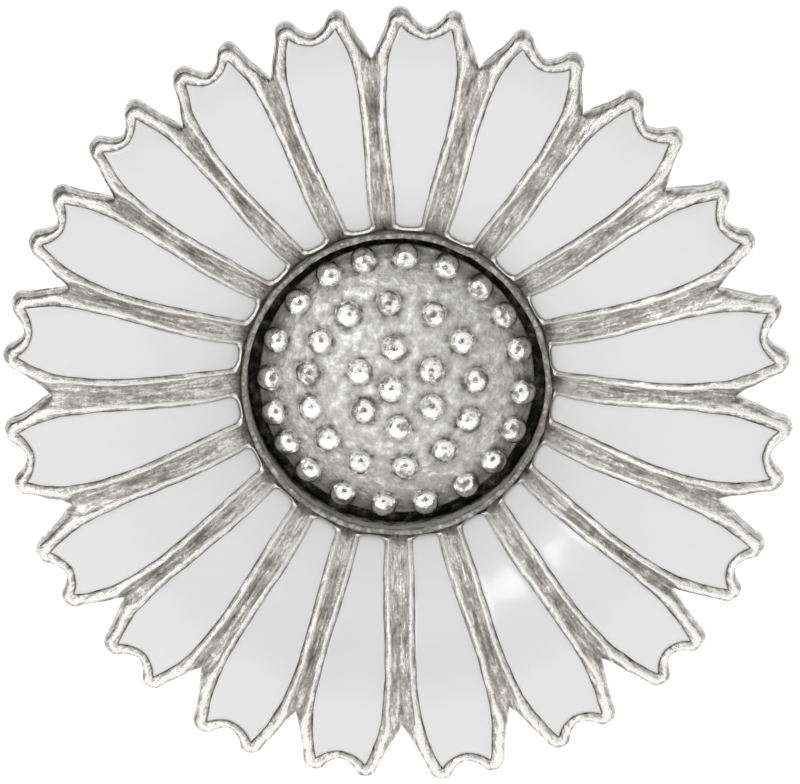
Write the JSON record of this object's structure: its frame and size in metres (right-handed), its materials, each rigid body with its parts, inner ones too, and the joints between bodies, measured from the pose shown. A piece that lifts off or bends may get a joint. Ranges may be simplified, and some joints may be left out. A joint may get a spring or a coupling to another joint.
{
  "type": "hat pin",
  "caption": "Hat pin with an arched daisy head of enamelled petals, a domed granulated centre, a long pointed stem and a slide-off point guard.",
  "frame": {"origin": "on the stem's axis, at the back face of the ferrule, where the stem leaves the head", "axes": "+Y along the stem towards its point; the flower faces -Y; +Z towards the top petal"},
  "size_m": [0.043, 0.0837, 0.0429],
  "materials": {
    "polished_silver": "polished, webs left dull",
    "white_enamel": "glossy opaque",
    "oxidised_silver": "blackened",
    "satin_silver": "fine sand texture",
    "plain_silver": "satin",
    "stem_steel": "drawn wire, ground point",
    "guard_metal": "silver plated, turned",
    "liner_rubber": "matte silicone"
  },
  "bodies": {
    "pin": {"petal_plate": "polished_silver", "enamel_petal_01": "white_enamel", "enamel_petal_02": "white_enamel", "enamel_petal_03": "white_enamel", "enamel_petal_04": "white_enamel", "enamel_petal_05": "white_enamel", "enamel_petal_06": "white_enamel", "enamel_petal_07": "white_enamel", "enamel_petal_08": "white_enamel", "enamel_petal_09": "white_enamel", "enamel_petal_10": "white_enamel", "enamel_petal_11": "white_enamel", "enamel_petal_12": "white_enamel", "enamel_petal_13": "white_enamel", "enamel_petal_14": "white_enamel", "enamel_petal_15": "white_enamel", "enamel_petal_16": "white_enamel", "enamel_petal_17": "white_enamel", "enamel_petal_18": "white_enamel", "enamel_petal_19": "white_enamel", "enamel_petal_20": "white_enamel", "centre_cup": "oxidised_silver", "centre_dome": "satin_silver", "dome_seat_ring": "oxidised_silver", "granules_outer": "polished_silver", "granules_middle": "polished_silver", "granules_inner": "polished_silver", "centre_peg": "plain_silver", "back_disc": "plain_silver", "stem_ferrule": "plain_silver", "stem": "stem_steel"},
    "guard": {"guard_shell": "guard_metal", "guard_collar": "guard_metal", "guard_liner": "liner_rubber"}
  },
  "joints": [
    {"name": "guard_slide", "type": "slide", "parent": "pin", "child": "guard", "axis": [0, 1, 0], "range_m": [0, 0.03]}
  ]
}
